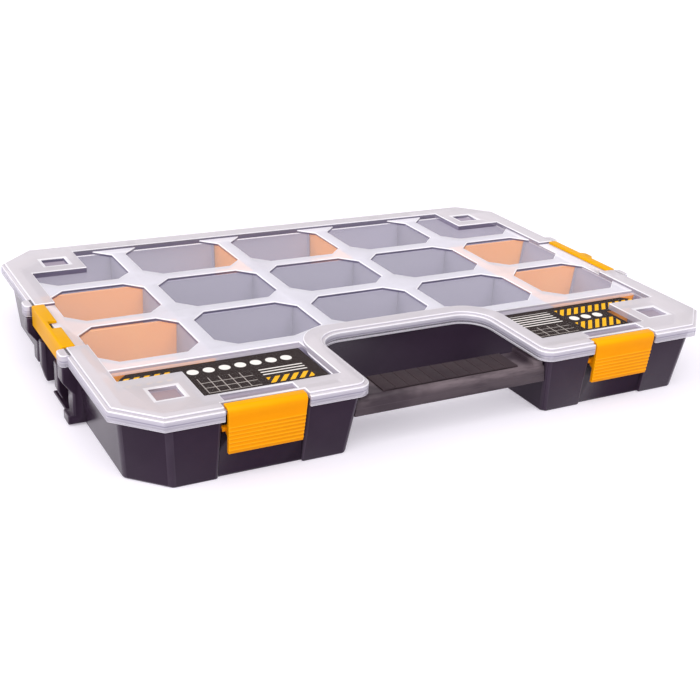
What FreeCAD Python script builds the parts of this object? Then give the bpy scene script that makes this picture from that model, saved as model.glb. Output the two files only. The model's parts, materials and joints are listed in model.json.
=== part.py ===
import FreeCAD, Part
import math
import os
import re
import Sketcher

# Craft organizer: a flat carrying case with a hinged clear lid over a tray of compartments
# Frame: origin on the floor under the middle of the case, +X right, +Y to the back, +Z up

doc = FreeCAD.newDocument("craft_organizer")
sheet = doc.addObject("Spreadsheet::Sheet", "sizes")

# Driving sizes in millimetres, angles in degrees, shares without a unit
driving_sizes = [
    # Lid outline
    ("case_height", 46.5),
    ("lid_length", 412.0),
    ("lid_depth", 290.8),
    ("corner_cut", 23.3),
    ("corner_share", 0.586),
    ("lid_ledge", 2.2),
    ("ledge_drop", 1.4),
    ("skirt_height", 8.0),
    ("skirt_wall", 2.0),
    ("recess_width", 119.0),
    ("recess_depth", 75.0),
    ("recess_round", 18.0),
    ("mouth_round", 9.0),
    # Lid top: rim, corner blocks, ribs and panes
    ("rim_side", 15.0),
    ("rim_back", 14.0),
    ("rim_front", 19.4),
    ("rim_recess", 12.1),
    ("rim_plate", 3.9),
    ("block_length", 52.5),
    ("block_front", 53.4),
    ("block_back", 50.4),
    ("rib_drop", 2.0),
    ("rib_width", 10.0),
    ("pane_drop", 4.0),
    ("pane_thick", 1.8),
    ("window_cut", 11.0),
    ("recess_cut_length", 24.0),
    ("recess_cut_depth", 10.0),
    ("field_round", 26.0),
    ("channel_side", 10.8),
    ("channel_front", 14.4),
    # Stacking sockets in the corner blocks
    ("stack_inset", 35.0),
    ("stack_front_inset", 30.4),
    ("stack_back_inset", 32.4),
    ("stack_length", 16.0),
    ("stack_width", 14.5),
    ("stack_drop", 2.6),
    # Grid of compartments
    ("column_margin", 1.0),
    ("row_offset", 2.8),
    ("row_margin", 13.2),
    ("partition_thick", 1.8),
    ("partition_gap", 0.5),
    ("divider_thick", 1.6),
    ("divider_gap", 0.25),
    ("divider_drop", 0.6),
    ("groove_sink", 0.5),
    # Tray shell
    ("rim_gap", 0.8),
    ("lid_overhang", 3.0),
    ("side_overhang", 5.2),
    ("side_draft", 4.3),
    ("end_draft", 5.4),
    ("corner_draft", 0.4),
    ("well_overhang", 5.5),
    ("well_side_draft", 5.0),
    ("well_back_draft", 4.9),
    ("tray_wall", 2.2),
    ("floor_thick", 2.0),
    # Front latches, their panels and catches
    ("latch_margin", 17.5),
    ("latch_gap", 1.5),
    ("panel_gap", 0.6),
    ("panel_step", 2.0),
    ("notch_gap", 1.4),
    ("notch_depth", 8.4),
    ("catch_wall", 1.8),
    ("catch_reach", 3.8),
    ("catch_thick", 2.1),
    ("catch_drop", 3.1),
    ("strip_rim", 1.8),
    ("strip_drop", 2.2),
    ("latch_width", 47.0),
    ("latch_sink", 0.3),
    ("latch_sunk", 0.2),
    ("latch_lean", 2.2),
    ("latch_taper", 1.35),
    ("latch_height", 28.6),
    ("latch_wall", 2.3),
    ("latch_round", 3.2),
    ("hook_gap", 1.0),
    ("ridge_lift", 1.2),
    ("ridge_band", 16.6),
    ("ridge_rise", 0.5),
    ("axis_inset", 7.8),
    ("axis_drop", 15.5),
    ("axle_radius", 1.8),
    ("axle_grip", 2.6),
    ("axle_play", 0.05),
    ("axle_end_gap", 0.4),
    ("gusset_thick", 3.0),
    ("gusset_rise", 5.0),
    ("gusset_radius", 2.2),
    # Side latches, their seats in the lid and their lugs on the tray
    ("seat_gap", 1.2),
    ("seat_drop", 2.0),
    ("seat_cut", 4.8),
    ("hump_length", 11.0),
    ("hump_reach", 4.2),
    ("hump_round", 3.0),
    ("hump_drop", 0.6),
    ("side_length", 70.4),
    ("side_wall", 2.5),
    ("side_reach", 8.2),
    ("side_lift", 0.2),
    ("tab_thick", 1.9),
    ("tab_round", 0.9),
    ("tab_slot", 11.5),
    ("lip_reach", 6.6),
    ("tongue_width", 13.0),
    ("tongue_reach", 5.0),
    ("tongue_round", 4.6),
    ("pivot_inset", 1.7),
    ("pivot_drop", 12.3),
    ("pivot_radius", 1.3),
    ("pivot_reach", 2.6),
    ("boss_radius", 1.9),
    ("boss_rise", 2.0),
    ("fin_rim", 3.8),
    ("fin_notch", 5.6),
    ("hook_reach", 3.2),
    ("fin_gap", 2.9),
    ("fin_root", 0.7),
    ("fin_thick", 8.0),
    ("lug_length", 11.0),
    ("fin_lift", 1.2),
    ("skirt_gap", 0.4),
    ("fin_neck", 7.0),
    ("shelf_thick", 1.6),
    # Hinges at the back
    ("hinge_inset", 86.0),
    ("hinge_gap", 0.6),
    ("hinge_drop", 5.9),
    ("knuckle_radius", 3.4),
    ("knuckle_relief", 0.1),
    ("knuckle_length", 24.0),
    ("lug_thick", 6.0),
    ("lug_gap", 0.4),
    ("lug_height", 11.9),
    ("hinge_pin_radius", 1.5),
    ("hinge_pin_play", 0.05),
    # Handle bar and its grip pad
    ("bar_inset", 6.9),
    ("bar_depth", 25.3),
    ("bar_drop", 12.1),
    ("bar_height", 11.7),
    ("bar_back_height", 8.6),
    ("bar_wall", 2.4),
    ("bar_round", 3.2),
    ("grip_end_gap", 12.0),
    ("grip_thick", 1.1),
    ("grip_front_gap", 3.0),
    ("grip_back_gap", 1.8),
    ("grip_round", 0.8),
    ("grip_slot", 0.7),
    ("grip_slot_drop", 0.4),
    # Contents cards under the front panes
    ("card_thick", 0.4),
    ("card_gap", 0.6),
    ("card_cut", 10.0),
]

# Sizes and places that follow from the driving sizes
derived_sizes = {
    "skirt_bottom": "case_height - skirt_height",
    "ledge_top": "case_height - ledge_drop",
    "rib_top": "case_height - rib_drop",
    "pane_bottom": "case_height - pane_drop - pane_thick",
    "roof_bottom": "case_height - rim_plate",
    "partition_top": "pane_bottom - partition_gap",
    "recess_back": "lid_depth / 2 - recess_depth",
    "stack_pitch": "lid_length - stack_inset * 2",
    "stack_front": "lid_depth / 2 - stack_front_inset",
    "stack_back": "lid_depth / 2 - stack_back_inset",
    "column_pitch": "(lid_length - column_margin * 2) / 5",
    "column_outer": "column_pitch * 1.5",
    "column_inner": "column_pitch / 2",
    "row_pitch": "(lid_depth - recess_depth - row_offset - row_margin) / 3",
    "row_front": "row_offset - recess_back",
    "row_middle": "row_front + row_pitch",
    "row_back": "row_middle + row_pitch",
    "tray_height": "roof_bottom - rim_gap",
    "top_length": "lid_length - side_overhang * 2",
    "top_depth": "lid_depth - lid_overhang * 2",
    "foot_length": "top_length - side_draft * 2",
    "foot_depth": "top_depth - end_draft * 2",
    "top_corner": "corner_cut - corner_share * (lid_overhang + side_overhang) / 2",
    "foot_corner": "top_corner - corner_draft",
    "well_top_width": "recess_width + well_overhang * 2",
    "well_foot_width": "well_top_width + well_side_draft * 2",
    "well_top_back": "recess_back - well_overhang",
    "well_foot_back": "well_top_back - well_back_draft",
    "well_corner": "corner_share * (recess_round + well_overhang)",
    "mouth_corner": "corner_share * (mouth_round - well_overhang)",
    "latch_pitch": "(recess_width + lid_length) / 2 - latch_margin",
    "notch_width": "latch_width + notch_gap * 2",
    "notch_back": "lid_depth / 2 - notch_depth",
    "panel_width": "latch_width + latch_gap * 2",
    "panel_top": "notch_back - catch_wall - panel_gap",
    "panel_foot": "foot_depth / 2 - panel_step",
    "front_top_inner": "panel_top - tray_wall",
    "front_foot_inner": "panel_foot - tray_wall",
    "latch_top": "case_height - latch_sink",
    "latch_bottom": "latch_top - latch_height",
    "latch_face": "lid_depth / 2 - latch_sunk",
    "latch_toe": "latch_face - latch_lean",
    "ridge_bottom": "latch_bottom + ridge_lift",
    "ridge_top": "ridge_bottom + ridge_band",
    "axis_front": "lid_depth / 2 - axis_inset",
    "axis_height": "case_height - axis_drop",
    "axle_reach": "latch_gap + axle_grip",
    "gusset_top": "axis_height + gusset_rise",
    "gusset_bottom": "axis_height - gusset_rise",
    "seat_length": "side_length + seat_gap * 2",
    "pivot_out": "lid_length / 2 - pivot_inset",
    "pivot_height": "case_height - pivot_drop",
    "fin_out": "pivot_out + pivot_radius + fin_rim",
    "fin_step": "fin_out - fin_notch",
    "fin_hook": "fin_step + hook_reach",
    "fin_face": "pivot_out + boss_radius",
    "fin_low_top": "pivot_height - boss_radius - fin_gap",
    "hinge_pitch": "lid_length - hinge_inset * 2",
    "hinge_back": "lid_depth / 2 + knuckle_radius + hinge_gap",
    "hinge_height": "case_height - hinge_drop",
    "knuckle_round": "knuckle_radius - knuckle_relief",
    "lug_top": "skirt_bottom - skirt_gap",
    "lug_foot": "lug_top - lug_height",
    "bar_front": "lid_depth / 2 - bar_inset",
    "bar_back": "bar_front - bar_depth",
    "bar_top": "case_height - bar_drop",
    "bar_bottom": "bar_top - bar_height",
    "bar_back_bottom": "bar_top - bar_back_height",
    "grip_length": "recess_width - grip_end_gap * 2",
}

grip_pads = 11
ridge_count = 7

for row, (alias, number) in enumerate(driving_sizes, start=1):
    sheet.set(f"A{row}", alias)
    sheet.set(f"B{row}", str(number))
    sheet.setAlias(f"B{row}", alias)
doc.recompute()

aliases = {alias for alias, number in driving_sizes}


def spelled(text, cell="{}"):
    """Return an expression with derived sizes written out and each driving size as its cell."""
    def word(match):
        name = match.group(0)
        if name in derived_sizes:
            return f"({spelled(derived_sizes[name], cell)})"
        return cell.format(name) if name in aliases else name
    return re.sub(r"[a-z][a-z_]*", word, text)


def bound(text):
    return spelled(text, "<<sizes>>.{}")


def value(text):
    return float(sheet.evalExpression(spelled(text)))


def minus(text):
    return f"-({text})"


def origin_plane(body, role):
    return next(plane for plane in body.Origin.OriginFeatures if plane.Role == role)


def new_body(label):
    body = doc.addObject("PartDesign::Body", label)
    body.Label = label
    return body


def corner_arc(before, corner, after, radius):
    """Return the tangent arc of a rounded corner and whether it runs with the outline."""
    back = (before - corner).normalize()
    ahead = (after - corner).normalize()
    half = back.getAngle(ahead) / 2
    middle = corner + (back + ahead).normalize() * (radius / math.sin(half))
    first = corner + back * (radius / math.tan(half)) - middle
    last = corner + ahead * (radius / math.tan(half)) - middle
    forward = first.cross(last).z > 0
    ends = (first, last) if forward else (last, first)
    angles = [math.atan2(end.y, end.x) for end in ends]
    if angles[1] < angles[0]:
        angles[1] += 2 * math.pi
    circle = Part.Circle(middle, FreeCAD.Vector(0, 0, 1), radius)
    return Part.ArcOfCircle(circle, angles[0], angles[1]), forward


def draw_loop(sketch, points):
    """Draw one closed outline; a point is (x, y) or, where it is rounded, (x, y, radius)."""
    count = len(points)
    corners = [FreeCAD.Vector(value(point[0]), value(point[1]), 0) for point in points]
    arcs = {}
    for index, point in enumerate(points):
        if len(point) == 3:
            neighbours = (corners[index - 1], corners[index], corners[(index + 1) % count])
            arcs[index] = corner_arc(*neighbours, value(point[2]))

    def side_end(index, leaving):
        if index not in arcs:
            return corners[index]
        arc, forward = arcs[index]
        return arc.EndPoint if leaving == forward else arc.StartPoint

    first_line = sketch.GeometryCount
    lines = []
    for index in range(count):
        ahead = (index + 1) % count
        lines.append(Part.LineSegment(side_end(index, True), side_end(ahead, False)))
    sketch.addGeometry(lines, False)

    rules = []
    formulas = []

    def pin_point(element, point):
        for kind, text in zip(("DistanceX", "DistanceY"), point):
            formulas.append((len(rules), text))
            rules.append(Sketcher.Constraint(kind, -1, 1, element, 1, value(text)))

    for index, point in enumerate(points):
        leaving = first_line + index
        arriving = first_line + (index - 1) % count
        if index not in arcs:
            rules.append(Sketcher.Constraint("Coincident", arriving, 2, leaving, 1))
            pin_point(leaving, point)
            continue
        arc, forward = arcs[index]
        arc_id = sketch.addGeometry(arc, False)
        corner_id = sketch.addGeometry(Part.Point(corners[index]), True)
        arc_start, arc_end = (1, 2) if forward else (2, 1)
        rules.append(Sketcher.Constraint("Tangent", arriving, 2, arc_id, arc_start))
        rules.append(Sketcher.Constraint("Tangent", arc_id, arc_end, leaving, 1))
        rules.append(Sketcher.Constraint("PointOnObject", corner_id, 1, arriving))
        rules.append(Sketcher.Constraint("PointOnObject", corner_id, 1, leaving))
        formulas.append((len(rules), point[2]))
        rules.append(Sketcher.Constraint("Radius", arc_id, value(point[2])))
        pin_point(corner_id, point)
    bind(sketch, rules, formulas)


def draw_circle(sketch, across, up, radius):
    centre = FreeCAD.Vector(value(across), value(up), 0)
    circle = sketch.addGeometry(Part.Circle(centre, FreeCAD.Vector(0, 0, 1), value(radius)), False)
    rules = [
        Sketcher.Constraint("DistanceX", -1, 1, circle, 3, value(across)),
        Sketcher.Constraint("DistanceY", -1, 1, circle, 3, value(up)),
        Sketcher.Constraint("Radius", circle, value(radius)),
    ]
    bind(sketch, rules, list(enumerate((across, up, radius))))


def bind(sketch, rules, formulas):
    start = sketch.ConstraintCount
    sketch.addConstraint(rules)
    for index, text in formulas:
        sketch.setExpression(f"Constraints[{start + index}]", bound(text))


def new_sketch(body, name, role, lift="0"):
    """Return a sketch on one of the body's origin planes, lifted along the plane's normal."""
    sketch = body.newObject("Sketcher::SketchObject", name)
    sketch.AttachmentSupport = [(origin_plane(body, role), "")]
    sketch.MapMode = "FlatFace"
    sketch.AttachmentOffset = FreeCAD.Placement(FreeCAD.Vector(0, 0, value(lift)), FreeCAD.Rotation())
    sketch.setExpression("AttachmentOffset.Base.z", bound(lift))
    return sketch


def loop_sketch(body, name, role, loops, lift="0"):
    sketch = new_sketch(body, name, role, lift)
    for points in loops:
        draw_loop(sketch, points)
    return sketch


def extrude(body, kind, sketch, length, side="One side", reversed_way=False):
    """Pad or pocket a sketch, and check that it changed the solid the way it should."""
    before = body.Shape.Volume if body.Tip and not body.Shape.isNull() else 0
    feature = body.newObject(f"PartDesign::{kind}", f"{sketch.Name}_{kind.lower()}")
    feature.Profile = sketch
    feature.SideType = side
    feature.Reversed = reversed_way
    feature.Refine = kind == "Pad"
    feature.setExpression("Length", bound(length))
    doc.recompute()
    grew = feature.Shape.Volume > before
    if grew != (kind == "Pad"):
        raise RuntimeError(f"{feature.Label} does not change {body.Label}")
    return feature


def loft(body, kind, sketches):
    feature = body.newObject(f"PartDesign::{kind}", f"{sketches[0].Name}_loft")
    feature.Profile = sketches[0]
    feature.Sections = sketches[1:]
    feature.Ruled = True
    doc.recompute()
    return feature


def mirror(body, features, role="YZ_Plane"):
    copy = body.newObject("PartDesign::Mirrored", f"{features[0].Name}_mirror")
    copy.Originals = features
    copy.MirrorPlane = (origin_plane(body, role), [""])
    body.Tip = copy
    doc.recompute()
    return copy


def place(body, across="0", along="0", up="0"):
    for axis, text in zip("xyz", (across, along, up)):
        body.setExpression(f"Placement.Base.{axis}", bound(text))
    doc.recompute()


# Outlines that several pieces share

def slanted(foot, top, height):
    """Return a drafted wall's place at a height, between its foot and the tray's rim."""
    return f"({foot} + ({top} - {foot}) * ({height}) / tray_height)"


def both_sides(left_half):
    """Return an outline from the points of its left half, mirrored to the right."""
    right_half = [(minus(point[0]), *point[1:]) for point in reversed(left_half)]
    return left_half + right_half


# Lid: one clear moulding with a stepped skirt, ribs, sunk panes, corner blocks and notches

def lid_outline(inset, front_inset=None):
    front = minus(f"lid_depth / 2 - {front_inset or inset}")
    side = minus(f"lid_length / 2 - {inset}")
    back = f"lid_depth / 2 - {inset}"
    cut = f"(corner_cut - corner_share * {inset})"
    recess_side = minus(f"recess_width / 2 + {inset}")
    return both_sides([
        (f"{side} + {cut}", back),
        (side, f"{back} - {cut}"),
        (side, f"{front} + {cut}"),
        (f"{side} + {cut}", front),
        (recess_side, front, f"mouth_round - {inset} * corner_share"),
        (recess_side, minus(f"recess_back - {inset}"), f"recess_round + {inset}"),
    ])


field_side = "-(lid_length / 2 - rim_side)"
field_back = "lid_depth / 2 - rim_back"
field_front = "-(lid_depth / 2 - rim_front)"
field_recess_side = "-(recess_width / 2 + rim_recess)"
field_recess_back = "-(recess_back - rim_recess)"
block_side = "-(lid_length / 2 - block_length)"
block_rear = "lid_depth / 2 - block_back"
block_fore = "-(lid_depth / 2 - block_front)"


def lid_field():
    """Outline of the sunk field inside the rim, the corner blocks and the handle recess."""
    return both_sides([
        (block_side, field_back),
        (block_side, block_rear),
        (field_side, block_rear),
        (field_side, block_fore),
        (block_side, block_fore),
        (block_side, field_front),
        (field_recess_side, field_front),
        (field_recess_side, field_recess_back, "field_round"),
    ])


def cut_window(left, right, front, back):
    """An eight-sided pane between four ribs."""
    return [
        (f"{left} + window_cut", back),
        (left, f"{back} - window_cut"),
        (left, f"{front} + window_cut"),
        (f"{left} + window_cut", front),
        (f"{right} - window_cut", front),
        (right, f"{front} + window_cut"),
        (right, f"{back} - window_cut"),
        (f"{right} - window_cut", back),
    ]


def mirrored_window(points):
    return [(minus(point[0]), *point[1:]) for point in points]


def lid_windows():
    """The panes row by row, each row's left panes mirrored to the right."""
    half_rib = "rib_width / 2"
    outer_right = f"-column_outer - {half_rib}"
    inner_left = f"-column_outer + {half_rib}"
    inner_right = f"-column_inner - {half_rib}"
    middle_left = f"-column_inner + {half_rib}"
    middle_right = minus(middle_left)
    back_row = (f"row_back + {half_rib}", field_back)
    middle_row = (f"row_middle + {half_rib}", f"row_back - {half_rib}")
    front_row = (f"row_front + {half_rib}", f"row_middle - {half_rib}")

    # The pane beside a back corner block goes round it
    corner_pane = cut_window(field_side, outer_right, *back_row)[2:]
    corner_pane += [(block_side, field_back), (block_side, block_rear), (field_side, block_rear)]

    # The pane beside the handle recess has one long corner along the recess
    recess_pane = cut_window(inner_left, inner_right, *front_row)
    recess_pane[4] = (f"{inner_right} - recess_cut_length", front_row[0])
    recess_pane[5] = (inner_right, f"{front_row[0]} + recess_cut_depth")

    # The card window goes round the front corner block
    card_back = f"row_front - {half_rib}"
    card_pane = [
        (field_side, card_back),
        (field_side, block_fore),
        (block_side, block_fore),
        (block_side, field_front),
        (field_recess_side, field_front),
        (field_recess_side, card_back),
    ]

    left_panes = {
        "back": [corner_pane, cut_window(inner_left, inner_right, *back_row)],
        "middle": [
            cut_window(field_side, outer_right, *middle_row),
            cut_window(inner_left, inner_right, *middle_row),
        ],
        "front": [cut_window(field_side, outer_right, *front_row), recess_pane],
        "card": [card_pane],
    }
    centre_panes = {
        "back": [cut_window(middle_left, middle_right, *back_row)],
        "middle": [cut_window(middle_left, middle_right, *middle_row)],
        "front": [cut_window(middle_left, middle_right, field_recess_back, front_row[1])],
        "card": [],
    }
    return {
        row: panes + [mirrored_window(points) for points in panes] + centre_panes[row]
        for row, panes in left_panes.items()
    }


def box_loop(left, right, low, high):
    return [(left, low), (right, low), (right, high), (left, high)]


def centred_box(across, along, length, width):
    half_length = f"({length}) / 2"
    half_width = f"({width}) / 2"
    return box_loop(
        f"{across} - {half_length}", f"{across} + {half_length}",
        f"{along} - {half_width}", f"{along} + {half_width}",
    )


def build_lid():
    body = new_body("lid")
    skirt = loop_sketch(body, "skirt", "XY_Plane", [lid_outline("0")], "skirt_bottom")
    extrude(body, "Pad", skirt, "skirt_height - ledge_drop")
    top = loop_sketch(body, "top_face", "XY_Plane", [lid_outline("lid_ledge")], "ledge_top")
    extrude(body, "Pad", top, "ledge_drop")

    # Underside: open below the panes, and a channel that takes the tray's wall
    inner = [lid_outline("skirt_wall")]
    hollow = loop_sketch(body, "hollow", "XY_Plane", inner, "skirt_bottom")
    extrude(body, "Pocket", hollow, "pane_bottom - skirt_bottom", reversed_way=True)
    ring = [lid_outline("skirt_wall"), lid_outline("channel_side", "channel_front")]
    channel = loop_sketch(body, "channel", "XY_Plane", ring, "pane_bottom")
    extrude(body, "Pocket", channel, "roof_bottom - pane_bottom", reversed_way=True)

    # Front notches for the latches, each with a catch that the hook reaches over
    notch_rear = "-notch_back"
    notch_front = "-(lid_depth / 2 + notch_depth)"
    notch_loops = []
    for across in ("-latch_pitch / 2", "latch_pitch / 2"):
        left = f"{across} - notch_width / 2"
        right = f"{across} + notch_width / 2"
        notch_loops.append(box_loop(left, right, notch_front, notch_rear))
    notch = loop_sketch(body, "notch", "XY_Plane", notch_loops, "case_height")
    extrude(body, "Pocket", notch, "skirt_height")
    catch_top = "case_height - catch_drop"
    catch_profile = [
        (f"{notch_rear} + catch_wall", "skirt_bottom"),
        (f"{notch_rear} + catch_wall", "roof_bottom"),
        (notch_rear, "roof_bottom"),
        (notch_rear, catch_top),
        (f"{notch_rear} - catch_reach", catch_top),
        (f"{notch_rear} - catch_reach", f"{catch_top} - catch_thick"),
        (notch_rear, f"{catch_top} - catch_thick"),
        (notch_rear, "skirt_bottom"),
    ]
    catch = loop_sketch(body, "catch", "YZ_Plane", [catch_profile], "-latch_pitch / 2")
    catch_pad = extrude(body, "Pad", catch, "latch_width", "Symmetric")
    mirror(body, [catch_pad])

    # Side seats, sunk level with the ribs, open at the edge where the latch stands
    seat_edge = "lid_length / 2 + seat_cut"
    low, high = "-seat_length / 2", "seat_length / 2"
    seat_loops = [
        box_loop(minus(seat_edge), field_side, low, high),
        box_loop(minus(field_side), seat_edge, low, high),
    ]
    seat = loop_sketch(body, "seat", "XY_Plane", seat_loops, "case_height")
    extrude(body, "Pocket", seat, "seat_drop")
    gap_edge = "lid_length / 2 - seat_cut"
    gap_loops = [
        box_loop(minus(seat_edge), minus(gap_edge), low, high),
        box_loop(gap_edge, seat_edge, low, high),
    ]
    gap = loop_sketch(body, "seat_gap", "XY_Plane", gap_loops, "case_height")
    extrude(body, "Pocket", gap, "skirt_height")

    # Rounded humps on the skirt at both ends of each seat
    hump_out = "lid_length / 2 + hump_reach"
    hump_root = "lid_length / 2 - skirt_wall / 2"
    near, far = "seat_length / 2", "seat_length / 2 + hump_length"
    hump = [
        (minus(hump_root), near), (minus(hump_root), far),
        (minus(hump_out), far, "hump_round"), (minus(hump_out), near, "hump_round"),
    ]
    flipped = [(point[0], minus(point[1]), *point[2:]) for point in reversed(hump)]
    hump_sketch = loop_sketch(body, "humps", "XY_Plane", [hump, flipped], "skirt_bottom")
    hump_pad = extrude(body, "Pad", hump_sketch, "skirt_height - hump_drop")
    mirror(body, [hump_pad])

    # Hinge knuckles on the back skirt
    root = "lid_depth / 2 - skirt_wall / 2"
    low = "hinge_height - knuckle_radius"
    high = "hinge_height + knuckle_radius"
    rear = "hinge_back + knuckle_radius"
    knuckle_profile = [
        (root, "skirt_bottom + skirt_wall / 2"),
        ("hinge_back - knuckle_radius / 2", low),
        (rear, low, "knuckle_round"),
        (rear, high, "knuckle_round"),
        ("hinge_back - knuckle_radius / 2", high),
        (root, high),
    ]
    knuckle = loop_sketch(body, "knuckle", "YZ_Plane", [knuckle_profile], "-hinge_pitch / 2")
    knuckle_pad = extrude(body, "Pad", knuckle, "knuckle_length", "Symmetric")
    bore = new_sketch(body, "knuckle_bore", "YZ_Plane", "-hinge_pitch / 2")
    draw_circle(bore, "hinge_back", "hinge_height", "hinge_pin_radius + hinge_pin_play")
    mirror(body, [knuckle_pad])
    bore_cut = extrude(body, "Pocket", bore, "knuckle_length + knuckle_radius", "Symmetric")
    mirror(body, [bore_cut])

    # Top: the field is sunk to the ribs and the panes below them
    field = loop_sketch(body, "field", "XY_Plane", [lid_field()], "case_height")
    extrude(body, "Pocket", field, "rib_drop")
    for row, panes in lid_windows().items():
        sketch = loop_sketch(body, f"panes_{row}", "XY_Plane", panes, "rib_top")
        extrude(body, "Pocket", sketch, "pane_drop - rib_drop")
    sockets = []
    for across in ("-stack_pitch / 2", "stack_pitch / 2"):
        for along in ("-stack_front", "stack_back"):
            sockets.append(centred_box(across, along, "stack_length", "stack_width"))
    stack = loop_sketch(body, "stack", "XY_Plane", sockets, "case_height")
    extrude(body, "Pocket", stack, "stack_drop")
    strips = []
    for across in ("-latch_pitch / 2", "latch_pitch / 2"):
        left = f"{across} - latch_width / 2 + strip_rim"
        right = f"{across} + latch_width / 2 - strip_rim"
        strips.append(box_loop(left, right, f"{notch_rear} + strip_rim", f"{field_front} - strip_rim"))
    strip = loop_sketch(body, "strips", "XY_Plane", strips, "case_height")
    extrude(body, "Pocket", strip, "strip_drop")
    return body


# Tray: a drafted shell with a handle well, latch panels, side fins and hinge lugs

def tray_outline(half_length, half_front, half_back, corner, well_half, well_back, well_cut):
    side = minus(half_length)
    front = minus(half_front)
    return both_sides([
        (f"{side} + {corner}", half_back),
        (side, f"{half_back} - {corner}"),
        (side, f"{front} + {corner}"),
        (f"{side} + {corner}", front),
        (f"-({well_half}) - mouth_corner", front),
        (minus(well_half), f"{front} + mouth_corner"),
        (minus(well_half), f"-({well_back}) - {well_cut}"),
        (f"-({well_half}) + {well_cut}", minus(well_back)),
    ])


def wall_at(height):
    """Outer face of the tray's side wall at a height, on the right."""
    return slanted("foot_length / 2", "top_length / 2", height)


def inner_side(height):
    return f"({wall_at(height)} - tray_wall)"


def inner_back(height):
    return f"({slanted('foot_depth / 2', 'top_depth / 2', height)} - tray_wall)"


def inner_outline(height):
    return tray_outline(
        inner_side(height),
        slanted("front_foot_inner", "front_top_inner", height),
        inner_back(height),
        f"({slanted('foot_corner', 'top_corner', height)} - corner_share * tray_wall)",
        f"({slanted('well_foot_width / 2', 'well_top_width / 2', height)} + tray_wall)",
        f"({slanted('well_foot_back', 'well_top_back', height)} - tray_wall)",
        "(well_corner + corner_share * tray_wall)",
    )


def side_fins():
    """The fins under the lid's left edge: place of the back face, length and outline."""
    lug_start = "(side_length / 2 + axle_end_gap)"
    root_high = f"-({wall_at('lug_top')} - fin_root)"
    root_low = f"-({wall_at('fin_lift')} - fin_root)"
    root_neck = f"-({wall_at('fin_neck')} - fin_root)"
    root_inner = f"-({wall_at('fin_low_top')} - fin_root)"
    out = "-fin_out"
    step = "-fin_step"
    face = "-fin_face"
    notch = "(fin_out - fin_step)"
    front_lug = [
        (root_high, "lug_top"), (out, "lug_top"), (out, "pivot_height - boss_radius - fin_rim"),
        (step, f"pivot_height - boss_radius - {notch} * 2"), (step, "fin_neck"), ("-fin_hook", "fin_neck"),
        ("-fin_hook", "fin_lift"), (root_low, "fin_lift"),
    ]
    inner_front = [
        (root_inner, "fin_low_top"), (face, "fin_low_top"), (face, f"fin_neck + {notch}"),
        (step, "fin_neck"), (root_neck, "fin_neck"),
    ]
    inner_back_fin = [
        (root_inner, "fin_low_top"), (face, "fin_low_top"), (face, f"fin_neck + {notch}"),
        (step, "fin_lift + shelf_thick"), (root_low, "fin_lift + shelf_thick"),
    ]
    back_lug = [
        (root_high, "lug_top"), (out, "lug_top"), (out, "pivot_height - boss_radius - fin_rim"),
        (step, f"pivot_height - boss_radius - {notch} * 2"), (step, "fin_neck"), (root_neck, "fin_neck"),
    ]
    pitch = "side_length / 2 - fin_neck"
    return [
        ("front_lug", minus(lug_start), "lug_length", front_lug),
        ("inner_front_fin", f"-({pitch}) / 2", "fin_thick", inner_front),
        ("inner_back_fin", f"({pitch}) / 2 + fin_thick", "fin_thick", inner_back_fin),
        ("back_lug", f"{lug_start} + lug_length", "lug_length", back_lug),
    ]


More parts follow.
